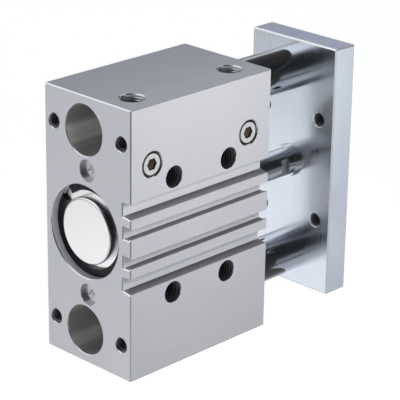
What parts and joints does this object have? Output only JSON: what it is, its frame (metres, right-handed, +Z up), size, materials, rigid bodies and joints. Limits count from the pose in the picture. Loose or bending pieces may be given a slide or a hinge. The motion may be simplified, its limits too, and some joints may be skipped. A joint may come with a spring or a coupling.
{
  "type": "guided pneumatic cylinder",
  "caption": "Compact air cylinder in a block housing; guide rods and a yoke plate slide with the piston rod. Threaded mounting holes, air ports and sensor slots.",
  "frame": {"origin": "centre of the threaded bolt pattern on the housing's rear face", "axes": "+X along the stroke towards the yoke plate, +Z up towards the open air ports, the slotted side faces -Y"},
  "size_m": [0.1715, 0.064, 0.148],
  "materials": {
    "anodised_aluminium": "satin anodised",
    "bright_aluminium": "bright turned",
    "turned_aluminium": "fine turned",
    "zinc_plated_steel": "blue zinc plated, brushed",
    "chrome_plated_steel": "ground and chrome plated",
    "guide_rod_steel": "hardened and ground",
    "spring_steel": "black phosphated",
    "blackened_steel": "blackened",
    "nickel_plated_brass": "nickel plated",
    "bronze": "sintered bronze",
    "nitrile_rubber": "matt",
    "cushion_rubber": "matt",
    "ring_magnet": "plastic-bonded",
    "guide_ring_plastic": "filled plastic"
  },
  "bodies": {
    "housing_unit": {"housing": "anodised_aluminium", "rear_end_cap": "bright_aluminium", "front_bearing_cap": "turned_aluminium", "rear_cap_seal": "nitrile_rubber", "front_cap_seal": "nitrile_rubber", "rear_retaining_ring": "spring_steel", "front_retaining_ring": "spring_steel", "rod_bush": "bronze", "rod_wiper": "nitrile_rubber", "rear_port_plug": "nickel_plated_brass", "front_port_plug": "nickel_plated_brass", "inner_guide_bush_top": "bronze", "inner_guide_bush_bottom": "bronze", "front_guide_bush_top": "bronze", "front_guide_bush_bottom": "bronze", "guide_wiper_top": "nitrile_rubber", "guide_wiper_bottom": "nitrile_rubber"},
    "rod_unit": {"piston": "turned_aluminium", "piston_seals": "nitrile_rubber", "piston_magnet": "ring_magnet", "piston_guide_ring": "guide_ring_plastic", "rear_cushion_ring": "cushion_rubber", "front_cushion_ring": "cushion_rubber", "piston_nut": "zinc_plated_steel", "piston_rod_seal": "nitrile_rubber", "piston_rod": "chrome_plated_steel", "yoke_plate": "zinc_plated_steel", "yoke_screws": "blackened_steel", "guide_rod_top": "guide_rod_steel", "guide_rod_bottom": "guide_rod_steel"}
  },
  "joints": [
    {"name": "rod_slide", "type": "slide", "parent": "housing_unit", "child": "rod_unit", "axis": [1, 0, 0], "range_m": [-0.05, 0]}
  ]
}
